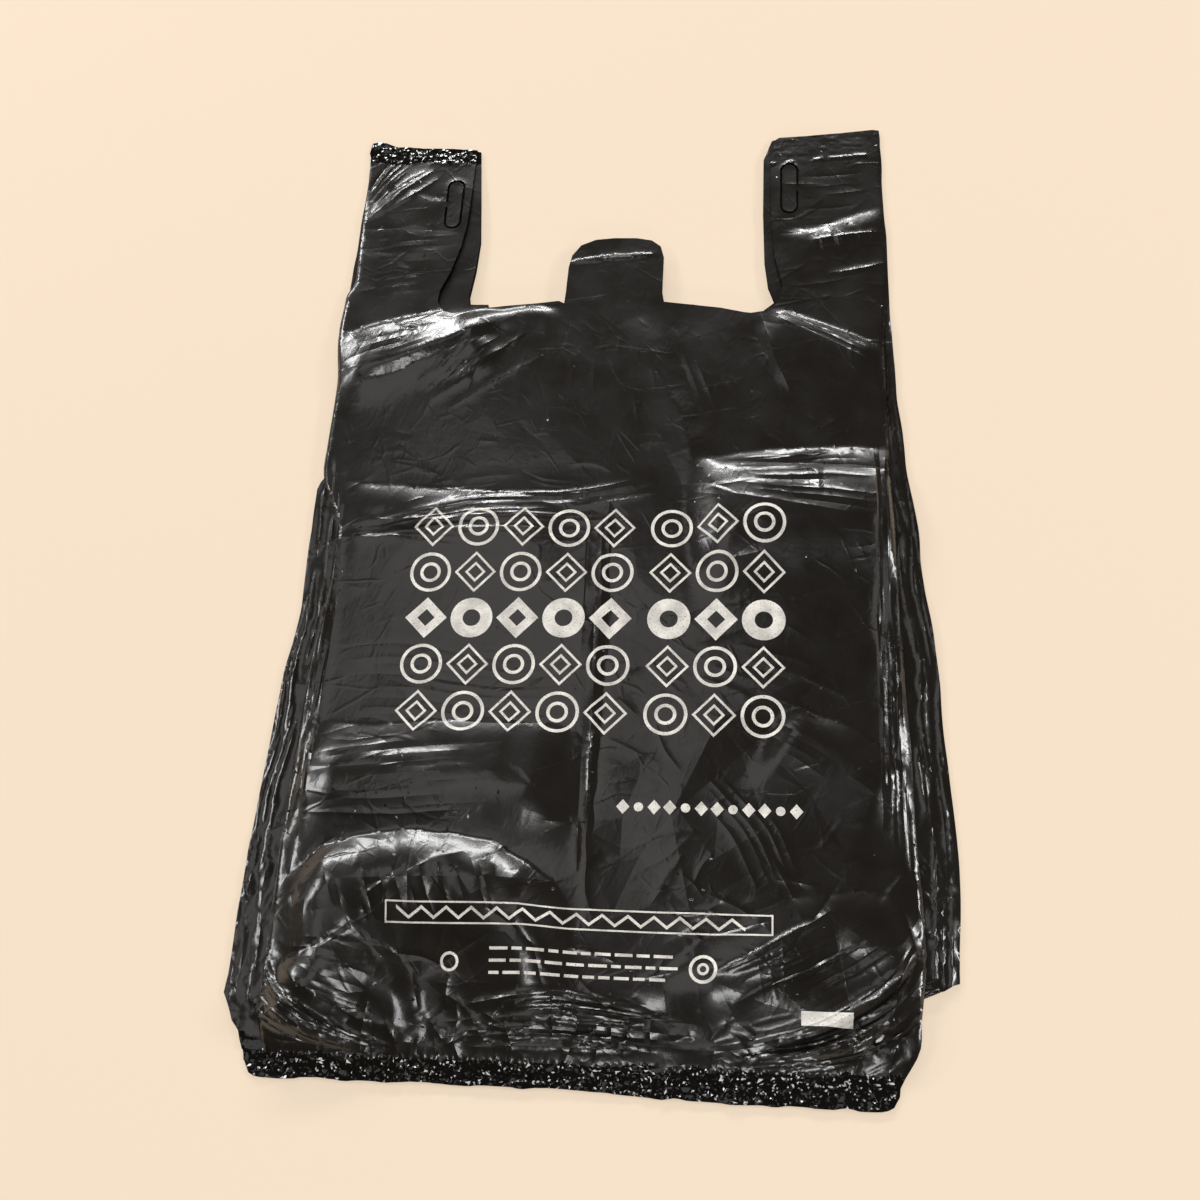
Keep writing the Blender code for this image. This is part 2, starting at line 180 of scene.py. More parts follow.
# Bulges of the front panel: line, height, width of the lit slope, how far the fall behind it reaches
bulges = {
    "shoulderLeft": ([(-152, 121), (-120, 131), (-90, 138), (-60, 141)], 4.9, 25, 14),
    "shoulderLeftMouth": ([(-84, 132), (-62, 137), (-40, 139), (-24, 138)], 1.6, 6, 12),
    "shoulderRight": ([(84, 139), (110, 129), (146, 112)], 1.9, 7, 16),
    "chestRight": ([(38, 42), (58, 48), (100, 53), (154, 54)], 8.6, 40, 26),
    "chestLeft": ([(-142, 36), (-100, 31), (-60, 28), (-10, 22)], 2.6, 14, 30),
    "waistLeft": ([(-142, -92), (-100, -97), (-50, -92), (4, -98)], 6.8, 32, 20),
    "belly": ([(-142, -190), (-136, -170), (-116, -154), (-76, -146), (-38, -152), (0, -176)], 9, 19, 32),
    "bellyLow": ([(-142, -224), (-127, -206), (-106, -197), (-82, -200), (-64, -214)], 3.8, 13, 14),
    "bellyRight": ([(36, -206), (62, -190), (96, -172), (130, -168), (158, -180)], 3.3, 16, 28),
    "hipRight": ([(90, -82), (120, -92), (152, -114)], 4.2, 15, 24),
    "handleLeftLow": ([(-146, 178), (-120, 175), (-92, 180)], 0.25, 5, 12),
    "handleLeftHigh": ([(-122, 222), (-106, 214), (-92, 212)], 0.5, 4, 10),
    "handleRightLow": ([(86, 186), (108, 190), (130, 199), (146, 203)], 1.4, 8, 12),
}

# Facets of the crushed film: cell in mm, its turn, and its height in mm by share of the bag's height
facets = [
    {"cell": (54.0, 33.0), "turn": 18, "seed": 201,
     "high": [(0, 0.4), (0.06, 1.4), (0.25, 1.2), (0.36, 0.6), (0.7, 0.4), (1, 0.3)]},
    {"cell": (25.0, 15.0), "turn": -24, "seed": 203,
     "high": [(0, 0.3), (0.06, 0.6), (0.25, 0.4), (0.36, 0.22), (0.7, 0.14), (1, 0.12)]},
]
net = {"cells": (24, 36), "jitter": 0.36, "far": (240, 340), "foldFar": (180, 275), "foldStep": 2.5}


# A net of flat facets over the whole film: its surface, and the straight folds between the facets
def facetNet(layer):
    random = np.random.default_rng(layer["seed"])
    long, wide = layer["cell"]
    turn = math.radians(layer["turn"])
    columns, rows = net["cells"]
    jitter = net["jitter"]
    corners = []
    for i in range(-columns, columns + 1):
        for j in range(-rows, rows + 1):
            u = (i + 0.5 * (j % 2) + random.uniform(-jitter, jitter)) * long
            v = (j + random.uniform(-jitter, jitter)) * wide
            px = u * math.cos(turn) - v * math.sin(turn)
            py = u * math.sin(turn) + v * math.cos(turn)
            if abs(px) < net["far"][0] and abs(py) < net["far"][1]:
                corners.append((px, py))
    points, links, faces, *_ = delaunay_2d_cdt(corners, [], [], 0, 1e-5)
    heights = [random.uniform(-1, 1) * along(layer["high"], np.array(heightShare(p[1]))) for p in points]
    surface = BVHTree.FromPolygons([(p[0], p[1], h) for p, h in zip(points, heights)], faces)
    lines = []
    farX, farY = net["foldFar"]
    for a, b in links:
        start = points[a]
        end = points[b]
        if max(abs(start[0]), abs(end[0])) < farX and max(abs(start[1]), abs(end[1])) < farY:
            n = max(1, round((end - start).length / net["foldStep"]))
            lines.append([tuple(start.lerp(end, k / n)) for k in range(n + 1)])
    return surface, lines


# Height of a net's surface, found by a ray straight down at each point
def facetHeight(surface, x, y):
    down = Vector((0, 0, -1))
    return np.array([surface.ray_cast(Vector((px, py, 50)), down)[0].z for px, py in zip(x, y)])


# Folds placed one by one: line, height, fall on the left and on the right of its run
creases = {
    "centre": ([(3, 24), (4, -40), (2, -110), (5, -190)], 0.8, 2.2, 3),
    "centreShade": ([(7, 10), (8, -60), (6, -150)], -0.6, 2, 3.2),
    "tab": ([(14, 134), (24, 104), (40, 70), (47, 44), (62, 20)], 1.3, 6, 12),
    "tabGroove": ([(30, 120), (42, 92), (50, 60)], -1.3, 7, 7),
    "chestRightGroove": ([(52, 46), (84, 43), (120, 42), (146, 40)], -1, 3, 2),
    "rightRib": ([(78, 133), (86, 108), (94, 84)], 1.1, 2, 3.2),
    "rightRibGroove": ([(74, 130), (82, 106), (90, 86)], -0.9, 2, 2.6),
    "leftRay": ([(-40, 124), (-64, 106), (-92, 80)], 1, 1.8, 3),
    "leftRayLow": ([(-34, 108), (-58, 92), (-80, 76)], 0.5, 1.5, 2.2),
    "shoulderLip": ([(-138, 95), (-112, 103), (-78, 119), (-52, 131)], 1.3, 5, 2.4),
    "shoulderShade": ([(-138, 89), (-112, 97), (-78, 113), (-56, 124)], -1.2, 2.4, 5),
    "waistStreak": ([(-138, 4), (-110, 12), (-78, 10), (-40, 16)], 0.7, 1.5, 3),
    "waistStreakLow": ([(-136, 1), (-104, 2), (-66, -4)], 0.6, 1.4, 2.6),
    "sideLeft": ([(-134, 40), (-131, 0), (-134, -60), (-137, -120)], 1, 2, 3.4),
    "sideRight": ([(141, 60), (141, 0), (143, -70), (146, -130)], 0.9, 3.4, 2),
    "sweepLeft": ([(-142, -202), (-112, -224), (-64, -240)], 2, 3.4, 7),
    "sweepLeftLow": ([(-146, -214), (-120, -234), (-84, -245)], 1.6, 2.6, 5),
    "sweepRight": ([(150, -196), (128, -216), (84, -238)], 1.8, 6, 3.2),
    "lowerRay": ([(58, -210), (84, -196), (112, -178)], 1.2, 0.8, 1.4),
    "lowerRayLow": ([(70, -220), (98, -206), (132, -192)], 0.9, 0.8, 1.6),
    "cornerLeftHandle": ([(-104, 234), (-122, 216), (-142, 196)], 1.3, 2, 3.4),
    "cornerLeftHandleIn": ([(-101, 228), (-116, 214), (-134, 203)], 0.8, 1.2, 3),
    "handleLeftLine": ([(-143, 193), (-112, 191), (-86, 189)], -0.35, 1.2, 1.8),
    "handleRightStroke": ([(104, 180), (124, 183), (142, 187)], 0.7, 1.2, 1.8),
    "handleRightStrokeLow": ([(114, 160), (130, 163), (144, 167)], 0.6, 1.2, 1.8),
    "tabLine": ([(-23, 168), (0, 170.5), (22, 172.5)], 1.2, 0.7, 1.1),
}

# Families of creases side by side: two guide lines, how many, height, fall, share of the guides' length
fans = [
    # left shoulder and mouth
    ([(-143, 122), (-118, 129), (-90, 136)], [(-142, 95), (-110, 106), (-80, 118)], 7, (0.1, 0.3),
     (0.8, 1.6), (0.3, 0.8)),
    ([(-130, 126), (-139, 98)], [(-88, 137), (-108, 108)], 8, (0.08, 0.22), (0.7, 1.2), (0.4, 0.9)),
    ([(-78, 122), (-92, 104), (-104, 90)], [(-50, 120), (-68, 104), (-86, 88)], 9, (0.2, 0.5), (0.7, 1.2),
     (0.2, 0.6)),
    ([(-70, 130), (-96, 100), (-112, 64)], [(62, 130), (84, 100), (104, 66)], 28, (0.06, 0.22), (0.7, 1.3),
     (0.15, 0.5)),
    # chest and waist
    ([(52, 46), (85, 45), (112, 52), (146, 53)], [(64, 22), (100, 15), (146, 6)], 11, (0.2, 0.6),
     (0.8, 1.6), (0.3, 0.8)),
    ([(64, 46), (72, 22)], [(142, 52), (138, 8)], 16, (0.1, 0.35), (0.7, 1.3), (0.2, 0.7)),
    ([(-132, 3), (-100, 16), (-60, 27), (-8, 27), (38, 42)], [(-132, 1), (-90, 0), (-40, 0), (34, -4)], 22,
     (0.2, 0.55), (0.7, 1.4), (0.25, 0.8)),
    ([(-138, -60), (-96, -52), (-40, -64), (20, -58)], [(-140, -96), (-96, -92), (-40, -98), (10, -94)], 9,
     (0.1, 0.35), (0.9, 1.8), (0.3, 0.8)),
    # belly and hem
    ([(-140, -112), (-90, -104), (-26, -98)], [(-142, -140), (-96, -144), (-40, -140)], 11, (0.15, 0.5),
     (0.9, 2), (0.3, 0.9)),
    ([(-137, -170), (-130, -194)], [(-34, -158), (-22, -186)], 16, (0.2, 0.5), (0.6, 1.2), (0.3, 1)),
    ([(-132, -196), (-110, -195), (-84, -204)], [(-138, -218), (-112, -224), (-86, -230)], 6, (0.2, 0.6),
     (0.8, 1.5), (0.4, 1)),
    ([(-146, -186), (-136, -216), (-106, -237), (-56, -245)],
     [(-152, -205), (-146, -228), (-122, -242), (-84, -247)], 15, (0.8, 2), (0.9, 2), (0.5, 1)),
    ([(152, -178), (138, -206), (104, -227), (46, -240)],
     [(156, -214), (146, -232), (116, -243), (70, -247)], 17, (0.8, 2), (0.9, 2), (0.45, 1)),
    ([(-44, -222), (-8, -215), (20, -219), (62, -224)], [(-56, -242), (0, -240), (40, -242), (88, -243)],
     18, (0.6, 1.6), (0.9, 2), (0.3, 0.7)),
    # right half, middle and sides
    ([(60, -50), (100, -60), (142, -78)], [(56, -92), (96, -114), (138, -144)], 10, (0.15, 0.45),
     (0.8, 1.4), (0.2, 0.7)),
    ([(60, -206), (84, -196), (112, -181)], [(100, -218), (128, -202), (152, -186)], 12, (0.3, 0.9),
     (0.7, 1.3), (0.4, 1)),
    ([(46, -122), (66, -146), (80, -176)], [(70, -118), (92, -140), (104, -170)], 5, (0.2, 0.5), (1, 2),
     (0.4, 0.9)),
    ([(-6, 24), (-5, -60), (-4, -182)], [(9, 20), (9, -60), (8, -182)], 14, (0.2, 0.6), (0.6, 1.2),
     (0.1, 0.4)),
    ([(-141, 60), (-134, 0), (-139, -80), (-142, -190)],
     [(-128, 40), (-126, -10), (-128, -90), (-130, -190)], 24, (0.3, 1), (0.8, 1.8), (0.15, 0.5)),
    ([(133, 60), (133, -10), (134, -90), (136, -180)], [(145, 50), (146, 0), (148, -60), (152, -180)], 26,
     (0.3, 1), (0.8, 1.8), (0.15, 0.5)),
    # handles and right shoulder
    ([(-100, 234), (-122, 216), (-142, 195)], [(-128, 246), (-136, 232), (-142, 216)], 12, (0.25, 0.7),
     (0.7, 1.3), (0.2, 0.8)),
    ([(-142, 192), (-110, 194), (-80, 196)], [(-141, 144), (-112, 150), (-88, 150)], 16, (0.05, 0.2),
     (0.7, 1.2), (0.15, 0.6)),
    ([(102, 184), (104, 172)], [(140, 197), (141, 178)], 20, (0.12, 0.3), (0.7, 1.2), (0.4, 1)),
    ([(86, 226), (112, 226), (142, 230)], [(86, 146), (112, 150), (144, 158)], 18, (0.05, 0.2), (0.7, 1.2),
     (0.15, 0.6)),
    ([(88, 138), (112, 126), (142, 112)], [(86, 132), (110, 118), (140, 102)], 10, (0.15, 0.5), (0.8, 1.4),
     (0.3, 0.9)),
]

# Small creases scattered by region: its box, how many, their turn and its spread, length, height
scatter = [
    ((-140, 140, 56, 132), 46, -40, 50, (5, 24), (0.05, 0.2)),
    ((-140, 145, -40, 60), 50, 0, 26, (6, 34), (0.06, 0.25)),
    ((-140, 150, -160, -40), 60, -8, 35, (6, 34), (0.06, 0.3)),
    ((-150, 155, -245, -160), 54, 20, 45, (14, 46), (0.2, 0.7)),
    ((-150, 155, -248, -228), 90, 70, 45, (5, 18), (0.2, 0.9)),
    ((-146, 146, 140, 234), 40, 4, 20, (4, 18), (0.05, 0.2)),
]

# What is left to chance in creases; lean is the right fall as a multiple of the left one
chance = {"grain": (9, 9), "bend": 0.12, "sign": (1, 1, 1, -1), "fall": (0.8, 1.8), "lean": (0.6, 2.2)}
fanChance = {"points": 25, "place": (0.1, 0.9), "lean": (0.7, 1.8)}


# Softens the corners of a line of points, in place
def soften(points):
    for _ in range(6):
        points[1:-1] = (points[:-2] + 2 * points[1:-1] + points[2:]) / 4


# Points about every step mm along a line, without its last one
def spaced(points, step):
    out = []
    for (ax, ay), (bx, by) in zip(points, points[1:]):
        n = max(1, round(math.dist((ax, ay), (bx, by)) / step))
        out += [(ax + (bx - ax) * i / n, ay + (by - ay) * i / n) for i in range(n)]
    return out


# A given line made a little uneven, with a point every step mm
def uneven(line, step, amount, seed):
    points = np.array(spaced(line, step) + [line[-1]])
    soften(points)
    px, py = points.T
    px = px + amount * noise(px, py, *chance["grain"], seed)
    py = py + amount * noise(px, py, *chance["grain"], seed + 1)
    return pairs(px, py)


# The same number of points along a guide line, however many it was drawn with
def evenLine(points, count):
    points = np.array(points, float)
    lengths = np.concatenate(([0], np.cumsum(np.hypot(*np.diff(points, axis=0).T))))
    stations = np.linspace(0, lengths[-1], count)
    line = np.column_stack([np.interp(stations, lengths, points[:, k]) for k in (0, 1)])
    soften(line)
    return line


# Short creases scattered over the front panel, the same on every run
def scatteredCreases():
    random = np.random.default_rng(bag["seed"])
    found = []
    for (left, right, bottom, top), count, heading, spread, long, high in scatter:
        for _ in range(count):
            cx = random.uniform(left, right)
            cy = random.uniform(bottom, top)
            turn = math.radians(heading + random.normal(0, spread))
            half = random.uniform(*long) / 2
            bend = random.normal(0, chance["bend"]) * half
            dx = math.cos(turn)
            dy = math.sin(turn)
            ends = [(cx + dx * reach, cy + dy * reach) for reach in (-half, half)]
            line = [ends[0], (cx - dy * bend, cy + dx * bend), ends[1]]
            height = random.uniform(*high) * random.choice(chance["sign"])
            fall = random.uniform(*chance["fall"])
            found.append((line, height, fall, fall * random.uniform(*chance["lean"])))
    for first, last, count, high, fall, part in fans:
        parts = fanChance["points"] - 1
        a = evenLine(first, parts + 1)
        b = evenLine(last, parts + 1)
        for i in range(count):
            t = (i + random.uniform(*fanChance["place"])) / count
            run = a + (b - a) * t
            share = random.uniform(*part)
            start = random.uniform(0, 1 - share)
            low = int(start * parts)
            line = run[low : low + max(3, int(share * parts)) + 1]
            height = random.uniform(*high) * random.choice(chance["sign"])
            near = random.uniform(*fall)
            far = near * random.uniform(*fanChance["lean"])
            found.append(([tuple(p) for p in line], height, near, far))
    return found


# Hanging slits: a long round-ended cut that stops short of closing, so its flap stays on
slit = {"long": 34.0, "wide": 10.0, "kerf": 1.3, "bridge": 3.0, "places": [(-90.5, 208.5), (93.5, 215.5)],
        "lip": (0.25, 0.9, 0.9)}


# Outline of a slit: the outer side of the cut, then its inner side back, open at the bridge
def slitOutline(cx, cy):
    outer = slit["wide"] / 2
    inner = outer - slit["kerf"]
    straight = slit["long"] / 2 - outer
    gap = slit["bridge"] / 2
    side = -1 if cx < 0 else 1
    turns = np.linspace(0.2, np.pi - 0.2, 10)
    ring = []
    for radius, end in ((outer, -1), (inner, 1)):
        ring += [(radius, end * gap), (radius, end * straight)]
        ring += [(radius * math.cos(a), end * (straight + radius * math.sin(a))) for a in turns]
        ring += [(-radius, end * straight), (-radius, -end * straight)]
        ring += [(-radius * math.cos(a), -end * (straight + radius * math.sin(a))) for a in turns]
        ring += [(radius, -end * straight), (radius, -end * gap)]
    return [(cx + side * x, cy + y) for x, y in ring]


bulgeLines = [
    (uneven(line, 1.6, 0.9, 40 + 2 * i), *rest) for i, (line, *rest) in enumerate(bulges.values())
]
creaseLines = [
    (uneven(line, 1.6, 0.8, 80 + 2 * i), *rest) for i, (line, *rest) in enumerate(creases.values())
]
lipLines = [(slitOutline(*place), *slit["lip"]) for place in slit["places"]]
smallLines = [(uneven(line, 2.0, 0.3, 140), *rest) for line, *rest in scatteredCreases()]
nets = [facetNet(layer) for layer in facets]


# The seals: crimped relief, where they begin, the dashes and dots of their stitches
seals = {
    "crimp": {"swell": (6.0, 3.4, 1.2), "facet": (2.0, 1.2, 0.42), "sink": 0.2},
    "fade": 3.0,
    "left": {"y": 231.0, "melted": 233.0, "rise": -0.05, "strength": 0.55},
    "right": {"y": 229.0, "from": 84.0, "rise": 0.1, "strength": 0.12},
    "dashes": {"y": 232.0, "rise": 0.12, "high": 0.5, "half": 0.9, "grain": (5, 9), "gate": 0.1},
    "dots": {"pitch": 3.2, "high": 0.6, "half": 0.9},
    "quiet": {"from": 70.0, "over": 50.0, "share": 0.45},
    "corner": {"x": -130.0, "rise": 0.6},
    "ragged": (7.0, 3.0, 1.6, 17),
}

# The front panel's own form: its crown, its slow sags, where its folds calm down, its least height
form = {
    "crown": (2.6, 0.8),
    "sags": [(60, 80, 0.8, 1), (26, 40, 0.2, 2)],
    "calm": (6, 18, 262, 20, 0.25),
    "least": 0.7,
}


# Crimped relief of a melted seal: random tilts of small facets on longer swells
def crimp(x, y, seed):
    across, length, high = seals["crimp"]["swell"]
    relief = high * np.abs(noise(x, y, across, length, seed))
    return relief + waves([(*seals["crimp"]["facet"], seed + 1)], x, y) - seals["crimp"]["sink"]


# Height of the front film in mm at points given in mm
def frontHeight(x, y):
    share = heightShare(y)
    side = along(loft["side"], share)
    crown = along(loft["body"], share) - side
    left, right = frontSides(share)
    middle = (left + right) / 2
    across = np.clip(np.abs(x - middle) / ((right - left) / 2), 0, 1)
    power, roundness = form["crown"]
    z = loft["stack"] + side + crown * (1 - across**power) ** roundness
    z = z + waves(form["sags"], x, y)
    for surface, _ in nets:
        z = z + facetHeight(surface, x, y)
    folds = np.zeros(x.shape)
    for line, height, width, fade in bulgeLines:
        addStep(folds, x, y, line, height, width, fade)
    for line, height, fallLeft, fallRight in creaseLines + lipLines + smallLines:
        addCrease(folds, x, y, line, height, fallLeft, fallRight)
    below, hemFade, top, topFade, least = form["calm"]
    share = ease((y - bag["hemSeam"] + below) / hemFade) * ease((top - y) / topFade)
    z = z + folds * (least + (1 - least) * share)
    quiet = seals["quiet"]
    hem = ease((bag["hemSeam"] + 2 - y) / seals["fade"])
    z = z + hem * crimp(x, y, 5) * (1 - quiet["share"] * ease((x - quiet["from"]) / quiet["over"]))
    dots = seals["dots"]
    row = np.exp(-(((y - bag["hemSeam"]) / dots["half"]) ** 2))
    z = z + dots["high"] * np.maximum(np.sin(x * 2 * np.pi / dots["pitch"]), 0) * row
    left = seals["left"]
    right = seals["right"]
    past = x - right["from"]
    leftSeal = ease((y - left["y"] - left["rise"] * x) / seals["fade"]) * (x < 0)
    rightSeal = ease((y - right["y"] - right["rise"] * past) / seals["fade"]) * (x > 0)
    z = z + (left["strength"] * leftSeal + right["strength"] * rightSeal) * crimp(x, y, 15)
    dashes = seals["dashes"]
    row = np.exp(-(((y - dashes["y"] - dashes["rise"] * past) / dashes["half"]) ** 2))
    z = z + dashes["high"] * rightSeal * row * (noise(x, y, *dashes["grain"], 14) > dashes["gate"])
    return np.maximum(z, form["least"])


def insideOf(points, x, y):
    inside = np.zeros(x.shape, bool)
    for (ax, ay), (bx, by) in zip(points, points[1:] + points[:1]):
        if ay == by:
            continue
        crosses = (y < ay) != (y < by)
        inside ^= crosses & (x < (bx - ax) * (y - ay) / (by - ay) + ax)
    return inside


# The die's edge in the front film, from the left handle's top round the mouth and the tab
mouth = {
    "frontLeft": [(-81, 247), (-81.5, 215), (-82, 195), (-84, 180), (-88.5, 162), (-93, 150),
        (-93.5, 143), (-90, 136.5), (-84, 134), (-77, 135), (-68, 138)],
    "frontTab": [(-56, 139.5), (-40, 141), (-28, 142.5), (-25, 141), (-24.5, 148), (-24, 164),
        (-22.5, 172), (-18, 178.5), (-10, 182), (0, 183), (12, 183), (20, 181.5), (25, 177.5), (27, 170),
        (27, 158), (27, 147), (28, 141.5), (40, 140)],
    "frontRight": [(58, 137.5), (70, 134.5), (77, 133.5), (84, 136), (88, 142), (90, 152), (86, 170),
        (84, 190), (83.5, 215), (83.5, 238), (86, 249)],
    "backLeft": [(-79, 246), (-76, 210), (-74, 184), (-75, 165), (-77, 148), (-76, 142), (-66, 141.5)],
    "backTab": [(-40, 143), (-26, 144), (-24, 143), (-23, 165), (-21, 172), (-17, 177), (-9, 180),
        (12, 181), (19, 179.5), (24, 175), (25.5, 168), (26, 144), (40, 141)],
    "backRight": [(60, 139), (74, 135.5), (80, 136.5), (86, 142), (82.5, 152), (80.5, 168), (79.5, 200),
        (79.5, 236), (84, 249)],
}
handleTops = {
    "left": [(-143.5, 247), (-142.5, 254), (-138, 255), (-128, 251), (-112, 249.5), (-96, 248.5),
        (-84, 247.5)],
    "right": [(88, 250.5), (104, 251.5), (122, 253.5), (139, 256), (142.5, 255.5), (143, 250)],
}


# The side edges are uneven; the hem's edge drops to the right, is ragged and has rounded corners
sideEdge = {"low": -250, "leftHigh": 244, "rightHigh": 246, "step": 4, "uneven": 0.5, "grain": 17}
hemEdge = {"y": -256.5, "inset": 0.4, "drop": 3.0, "from": -20.0, "over": 110.0, "ragged": 0.7,
           "grain": 6.0, "corner": (9.0, 6.2), "points": 110}


def sideLine(name, sign, low, high):
    count = int((high - low) / sideEdge["step"])
    ys = np.linspace(low, high, count + 1)
    xs = sign * (bag["halfWidth"] + along(edges[name], heightShare(ys)))
    xs = xs + sideEdge["uneven"] * noise(ys, ys * 0, sideEdge["grain"], 1, 9 if sign < 0 else 10)
    return pairs(xs, ys)


def bottomLine(leftX, rightX):
    xs = np.linspace(leftX, rightX, hemEdge["points"])
    long, high = hemEdge["corner"]
    inward = np.clip(np.minimum(xs - leftX, rightX - xs) / long, 0, 1)
    ys = hemEdge["y"] - hemEdge["drop"] * ease((xs - hemEdge["from"]) / hemEdge["over"])
    ys = ys + hemEdge["ragged"] * noise(xs, xs * 0, hemEdge["grain"], 1, 11)
    ys = ys + high * (1 - np.sqrt(1 - (1 - inward) ** 2))
    return pairs(xs, ys)


# Where the layers of film are melted together, at the hem and the left handle's top; under the hanging
# slits the mark is painted shade, so the layers seen through the cut take the blacker melted finish
def weldedOrSlitShade(x, y):
    corner = seals["corner"]["rise"] * np.maximum(seals["corner"]["x"] - x, 0)
    ragged = waves([seals["ragged"]], x, y)
    top = seals["left"]["melted"] + seals["left"]["rise"] * x
    melted = (y < bag["hemSeam"] + corner + ragged) | ((x < 0) & (y > top + ragged))
    for place in slit["places"]:
        # Painted shade: the lower layers under each slit take the blacker melted finish, so the cut reads
        # dark
        melted |= insideOf(slitOutline(*place), x, y)
    return melted


# A new object that holds the given data, in the scene
def addObject(name, data):
    thing = bpy.data.objects.new(name, data)
    bpy.context.scene.collection.objects.link(thing)
    return thing


# Triangulated sheet inside an outline, denser inside the fine boxes, lifted by a height function
def makeSheet(name, outline, holes, step, fine, height, folds=(), inked=()):
    holeStep, printStep, clear, farX, farY = 0.9, 1.4, 0.75, 180, 262
    steps = [step] + [holeStep] * len(holes) + [printStep] * len(inked)
    loops = [spaced(loop + loop[:1], space) for loop, space in zip([outline, *holes, *inked], steps)]
    loopPoints = [p for loop in loops for p in loop]
    bound = []
    start = 0
    for loop in loops:
        n = len(loop)
        bound += [(start + i, start + (i + 1) % n) for i in range(n)]
        start += n
    firstFold = len(bound)
    for line in folds:
        loopPoints += line
        bound += [(start + i, start + i + 1) for i in range(len(line) - 1)]
        start += len(line)
    loopPoints = np.array(loopPoints)
    grids = []
    for spacing, boxes in ((step, None), *fine):
        ys = np.arange(-farY, farY, spacing * math.sqrt(3) / 2)
        xs = np.arange(-farX, farX, spacing)
        gx, gy = np.meshgrid(xs, ys)
        gx = gx + spacing / 2 * (np.arange(len(ys)) % 2)[:, None]
        gx = gx.ravel()
        gy = gy.ravel()
        keep = np.zeros(gx.shape, bool)
        for x0, x1, y0, y1 in boxes or [patch for _, patches in fine for patch in patches]:
            keep |= (gx > x0) & (gx < x1) & (gy > y0) & (gy < y1)
        if boxes is None:
            keep = ~keep
        keep &= insideOf(outline, gx, gy)
        for hole in holes:
            keep &= ~insideOf(hole, gx, gy)
        grids.append(np.column_stack((gx[keep], gy[keep])))
    points = np.vstack(grids)
    tree = KDTree(len(loopPoints))
    for i, (px, py) in enumerate(loopPoints):
        tree.insert((px, py, 0), i)
    tree.balance()
    points = points[[tree.find((px, py, 0))[2] > clear for px, py in points]]
    allPoints = [tuple(p) for p in loopPoints] + [tuple(p) for p in points]
    verts, links, faces, _, origins, _ = delaunay_2d_cdt(allPoints, bound, [], 0, 1e-5)
    v = np.array([tuple(p) for p in verts])
    f = np.array(faces)
    folded = np.array([link for link, origin in zip(links, origins) if any(firstFold <= k for k in origin)])
    centre = v[f].mean(axis=1)
    keep = insideOf(outline, centre[:, 0], centre[:, 1])
    for hole in holes:
        keep &= ~insideOf(hole, centre[:, 0], centre[:, 1])
    f = f[keep]
    used = np.unique(f)
    renumber = np.full(len(v), -1)
    renumber[used] = np.arange(len(used))
    v = v[used]
    f = renumber[f]
    z = height(v[:, 0], v[:, 1])
    mesh = bpy.data.meshes.new(name)
    co = np.column_stack((v * mm, z * mm)) + np.array(shift)
    mesh.from_pydata(co.tolist(), [], f.tolist())
    mesh.shade_smooth()
    if len(folded):
        creased = np.sort(renumber[folded], axis=1)
        ends = np.zeros(2 * len(mesh.edges), int)
        mesh.edges.foreach_get("vertices", ends)
        ends = np.sort(ends.reshape(-1, 2), axis=1)
        sharp = np.isin(ends[:, 0] * len(v) + ends[:, 1], creased[:, 0] * len(v) + creased[:, 1])
        mesh.edges.foreach_set("use_edge_sharp", sharp)
    ink = np.zeros(len(f), bool)
    middle = v[f].mean(axis=1)
    for shape in inked:
        ink ^= insideOf(shape, middle[:, 0], middle[:, 1])
    weldOrSlitShade = weldedOrSlitShade(middle[:, 0], middle[:, 1])
    # Melted seals and the painted shade under the slits take material 1, the print takes material 2
    mesh.polygons.foreach_set("material_index", np.where(weldOrSlitShade, 1, 2 * ink))
    mesh.polygons.foreach_set("use_smooth", ~weldOrSlitShade)
    layer = mesh.uv_layers.new(name="film")
    loopVert = np.zeros(len(mesh.loops), int)
    mesh.loops.foreach_get("vertex_index", loopVert)
    layer.data.foreach_set("uv", (v[loopVert] * mm).ravel())
    thing = addObject(name, mesh)
    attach(thing, "root")
    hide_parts("carrier_bag")
    print(name, len(f), "triangles")
    return thing


# Outline of a panel: hem, right side, handle tops with the die's edge between them, left side
def panelOutline(which):
    left = sideLine(which + "Left", -1, sideEdge["low"], sideEdge["leftHigh"])
    right = sideLine(which + "Right", 1, sideEdge["low"], sideEdge["rightHigh"])
    outline = bottomLine(left[0][0] + hemEdge["inset"], right[0][0] - hemEdge["inset"])
    outline += right + handleTops["right"][::-1]
    for part in ("Right", "Tab", "Left"):
        outline += mouth[which + part][::-1]
    return outline + handleTops["left"][::-1] + left[::-1]


# The front panel: its film bends down to its side folds, and narrow creases are folds of its mesh
frontPanel = {
    "step": 1.6,
    "fine": [(0.9, [(-170, 175, -262, -245), (-150, -76, 228, 262), (80, 150, 228, 262)]),
             (1.2, [(-170, 175, -245, -196)])],
    "foldFall": 4.0,
    "bend": (2.4, 0.38),
}


def bentFront(x, y):
    left, right = frontSides(heightShare(y))
    radius, drop = frontPanel["bend"]
    near = np.minimum(np.clip(x - left, 0, radius), np.clip(right - x, 0, radius)) / radius
    curl = 1 - np.sqrt(np.clip(1 - (1 - near) ** 2, 0, 1))
    return frontHeight(x, y) * (1 - drop * curl)


